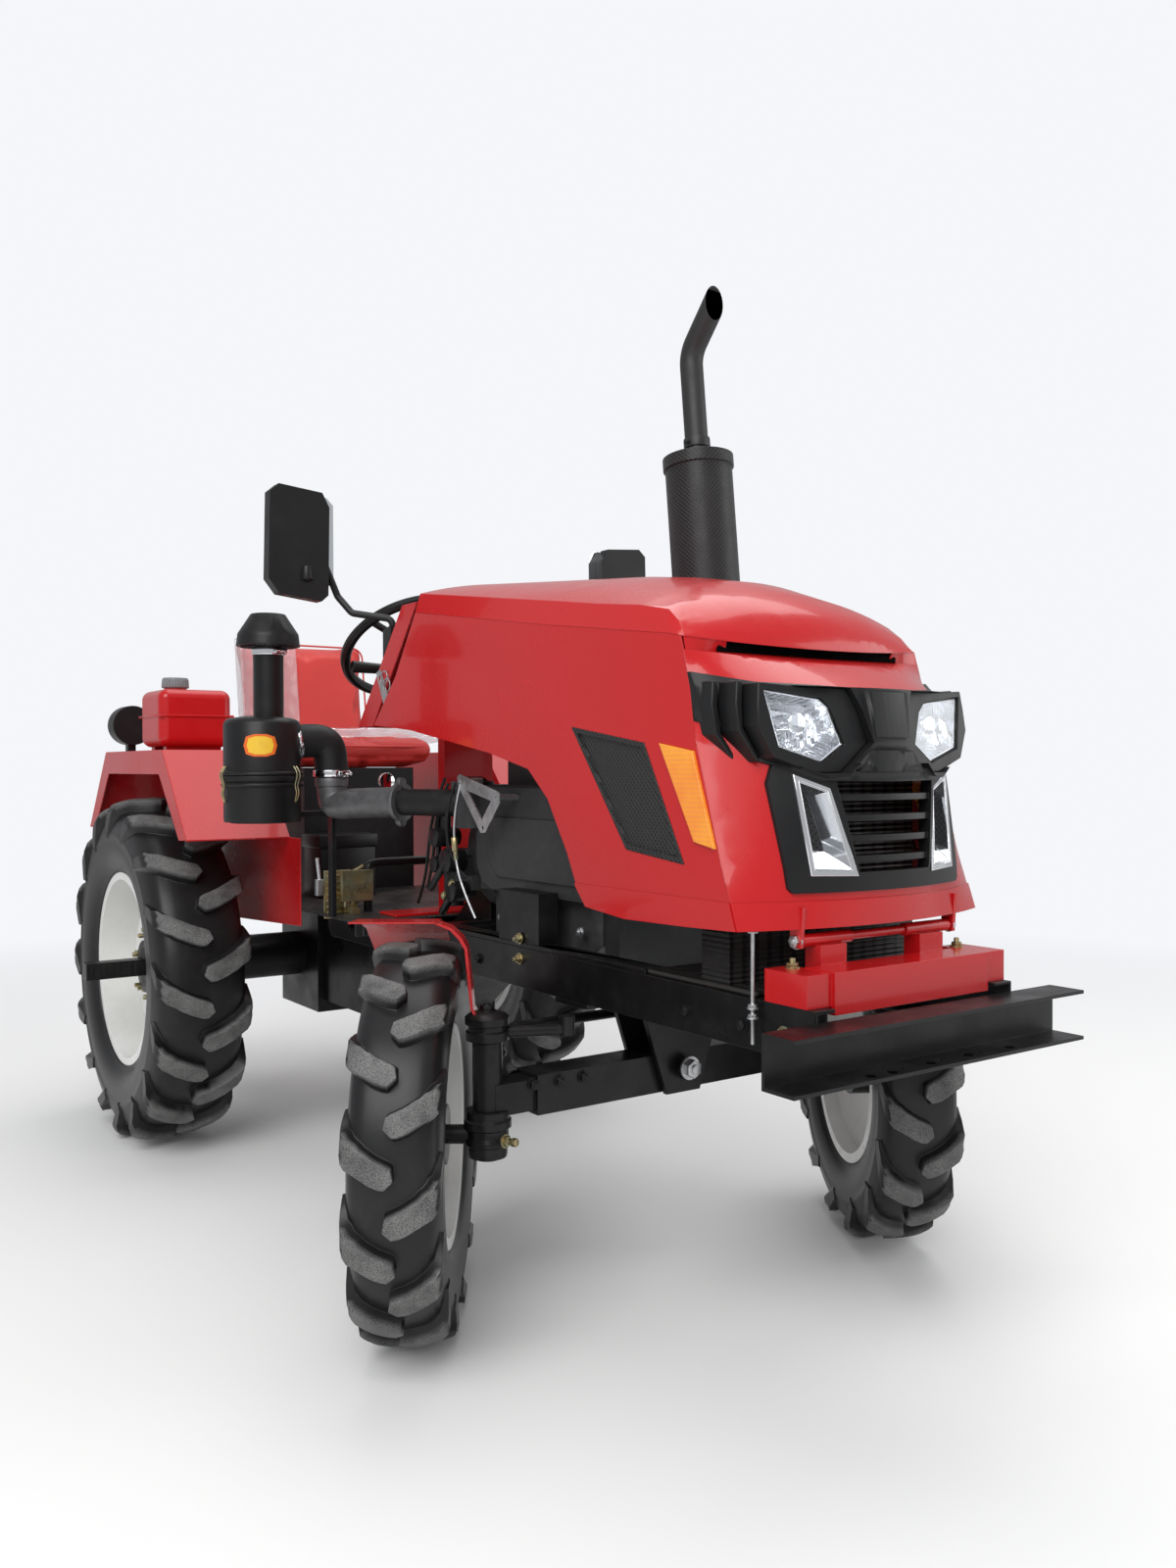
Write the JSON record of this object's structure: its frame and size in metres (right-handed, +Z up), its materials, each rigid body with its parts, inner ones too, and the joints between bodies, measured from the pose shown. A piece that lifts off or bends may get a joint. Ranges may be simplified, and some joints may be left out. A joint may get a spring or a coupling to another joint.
{
  "type": "farm tractor",
  "caption": "Small red farm tractor with a tilting hood, steered front wheels, lugged tyres, open seat and upright exhaust",
  "frame": {"origin": "on the ground under the middle of the machine's length, on its centre plane", "axes": "the nose points to -Y, +X is the machine's left side, +Z is up"},
  "size_m": [1.3622, 2.409, 1.855],
  "materials": {
    "body_red": "gloss red enamel",
    "chassis_black": "semi-gloss black enamel",
    "engine_grey": "dark grey engine paint",
    "rim_white": "white enamel",
    "tyre_rubber": "black rubber, grey worn lug tops",
    "hose_rubber": "black hose rubber",
    "trim_black": "satin black plastic",
    "exhaust_black": "heat-proof matt black",
    "seat_vinyl": "red vinyl cover",
    "zinc_yellow": "yellow zinc plated steel",
    "lens_clear": "clear ribbed lens over a bright reflector",
    "lens_amber": "amber ribbed plastic lens",
    "trim_chrome": "bright plated plastic"
  },
  "bodies": {
    "chassis": {"air_filter": "trim_black", "axle_bracket": "chassis_black", "cowl": "body_red", "drawbar": "chassis_black", "engine_block": "engine_grey", "engine_sump": "engine_grey", "exhaust_pipe": "exhaust_black", "exhaust_tail": "exhaust_black", "fender_left": "body_red", "fender_right": "body_red", "floor": "chassis_black", "frame_rail_left": "chassis_black", "frame_rail_right": "chassis_black", "front_axle": "chassis_black", "front_beam": "body_red", "front_bumper": "chassis_black", "fuel_tank": "body_red", "gearbox": "chassis_black", "intake_pipe": "hose_rubber", "mirror_left": "trim_black", "mirror_right": "trim_black", "muffler": "exhaust_black", "pedal_left": "zinc_yellow", "pedal_right": "zinc_yellow", "radiator": "chassis_black", "rear_axle": "chassis_black", "rear_lamp": "trim_black", "seat_back": "seat_vinyl", "seat_base": "chassis_black", "seat_cushion": "seat_vinyl", "steering_column": "trim_black"},
    "hood": {"hood_top": "body_red", "hood_front": "body_red", "hood_side_left": "body_red", "hood_side_right": "body_red", "lamp_mask": "trim_black", "grille": "trim_black", "slot_liner": "trim_black", "headlamp_left": "lens_clear", "headlamp_right": "lens_clear", "grille_trim_left": "trim_chrome", "grille_trim_right": "trim_chrome", "indicator_left": "lens_amber", "indicator_right": "lens_amber", "side_vent_left": "trim_black", "side_vent_right": "trim_black"},
    "steer_right": {"knuckle_right": "chassis_black", "mudguard_right": "body_red"},
    "steer_left": {"knuckle_left": "chassis_black", "mudguard_left": "body_red"},
    "wheel_front_right": {"front_tyre_right": "tyre_rubber", "front_rim_right": "rim_white"},
    "wheel_front_left": {"front_tyre_left": "tyre_rubber", "front_rim_left": "rim_white"},
    "wheel_rear_right": {"rear_tyre_right": "tyre_rubber", "rear_rim_right": "rim_white"},
    "wheel_rear_left": {"rear_tyre_left": "tyre_rubber", "rear_rim_left": "rim_white"},
    "tie": {"tie_rod": "chassis_black"},
    "helm": {"steering_wheel": "trim_black"}
  },
  "joints": [
    {"name": "hood_hinge", "type": "hinge", "parent": "chassis", "child": "hood", "pos_m": [0, -1.067, 0.646], "axis": [1, 0, 0], "range_deg": [0, 60]},
    {"name": "steer_right_pivot", "type": "hinge", "parent": "chassis", "child": "steer_right", "pos_m": [-0.358, -0.59, 0.4], "axis": [0, 0, 1], "range_deg": [0, 64]},
    {"name": "steer_left_pivot", "type": "hinge", "parent": "chassis", "child": "steer_left", "pos_m": [0.358, -0.59, 0.4], "axis": [0, 0, 1], "range_deg": [0, 64]},
    {"name": "tie_rod_pivot", "type": "hinge", "parent": "steer_right", "child": "tie", "pos_m": [-0.28917, -0.4917, 0.44], "axis": [0, 0, 1], "range_deg": [-64, 0]},
    {"name": "front_wheel_right_spin", "type": "hinge", "parent": "steer_right", "child": "wheel_front_right", "pos_m": [-0.44729, -0.52748, 0.306], "axis": [0.8192, -0.5736, 0], "continuous": true},
    {"name": "front_wheel_left_spin", "type": "hinge", "parent": "steer_left", "child": "wheel_front_left", "pos_m": [0.45333, -0.64284, 0.306], "axis": [0.8746, -0.4848, 0], "continuous": true},
    {"name": "rear_wheel_right_spin", "type": "hinge", "parent": "chassis", "child": "wheel_rear_right", "pos_m": [-0.478, 0.784, 0.4055], "axis": [1, 0, 0], "continuous": true},
    {"name": "rear_wheel_left_spin", "type": "hinge", "parent": "chassis", "child": "wheel_rear_left", "pos_m": [0.478, 0.784, 0.4055], "axis": [1, 0, 0], "continuous": true},
    {"name": "steering_wheel_turn", "type": "hinge", "parent": "chassis", "child": "helm", "pos_m": [0, 0.34, 1.16], "axis": [0, 0.5736, 0.8192], "range_deg": [0, 896]}
  ],
  "couplings": [
    {"joint": "steer_left_pivot", "follows": "steer_right_pivot", "ratio": 1},
    {"joint": "tie_rod_pivot", "follows": "steer_right_pivot", "ratio": -1},
    {"joint": "steering_wheel_turn", "follows": "steer_right_pivot", "ratio": 14}
  ]
}
